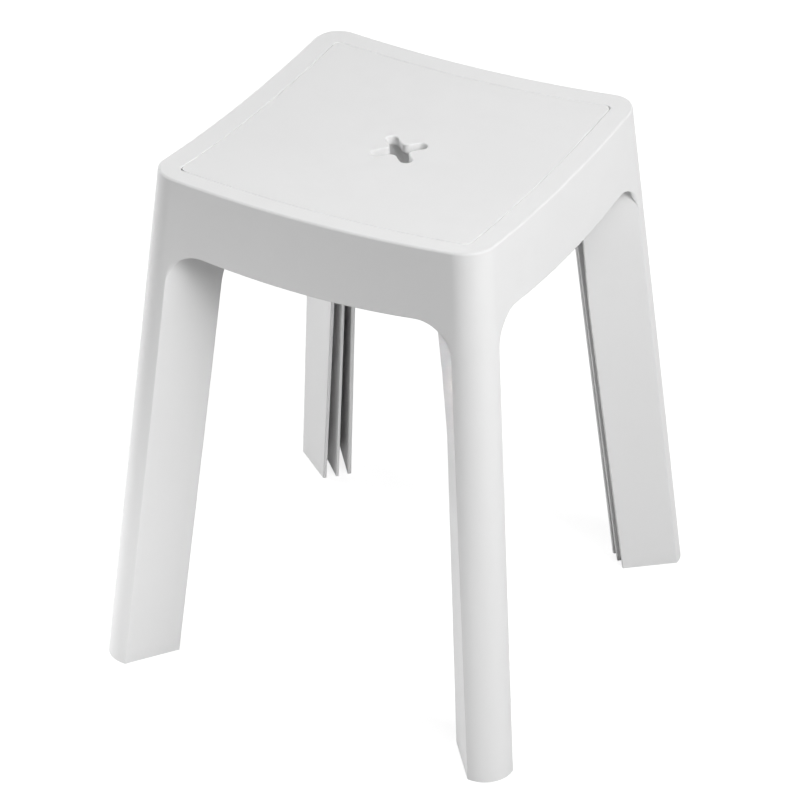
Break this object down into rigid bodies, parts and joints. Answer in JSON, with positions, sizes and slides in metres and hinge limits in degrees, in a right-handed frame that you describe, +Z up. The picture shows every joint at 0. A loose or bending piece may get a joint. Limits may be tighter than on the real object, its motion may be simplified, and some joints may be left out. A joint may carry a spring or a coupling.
{
  "type": "shower stool",
  "caption": "Square plastic stool for a shower, with a dished seat, a drain hole in its middle and splayed, ribbed channel legs.",
  "frame": {"origin": "on the floor, under the middle of the seat", "axes": "+Z up; the four sides face +X, -X, +Y and -Y, and the front faces -Y"},
  "size_m": [0.3752, 0.3752, 0.45],
  "materials": {
    "body_plastic": "satin white polypropylene with a fine moulded grain",
    "panel_plastic": "satin white polypropylene, a touch duller than the body"
  },
  "bodies": {
    "root": {"seat_panel": "panel_plastic", "drain_collar": "panel_plastic", "seat_hub": "body_plastic", "seat_rim": "body_plastic", "leg_back_right": "body_plastic", "leg_wall_a_back_right": "body_plastic", "leg_wall_b_back_right": "body_plastic", "leg_rib_back_right": "body_plastic", "seat_rib_back_right": "body_plastic", "leg_back_left": "body_plastic", "leg_wall_a_back_left": "body_plastic", "leg_wall_b_back_left": "body_plastic", "leg_rib_back_left": "body_plastic", "seat_rib_back_left": "body_plastic", "leg_front_left": "body_plastic", "leg_wall_a_front_left": "body_plastic", "leg_wall_b_front_left": "body_plastic", "leg_rib_front_left": "body_plastic", "seat_rib_front_left": "body_plastic", "leg_front_right": "body_plastic", "leg_wall_a_front_right": "body_plastic", "leg_wall_b_front_right": "body_plastic", "leg_rib_front_right": "body_plastic", "seat_rib_front_right": "body_plastic", "apron_back": "body_plastic", "apron_left": "body_plastic", "apron_front": "body_plastic", "apron_right": "body_plastic", "cross_rib_right": "body_plastic", "cross_rib_back": "body_plastic", "cross_rib_left": "body_plastic", "cross_rib_front": "body_plastic"}
  },
  "joints": []
}
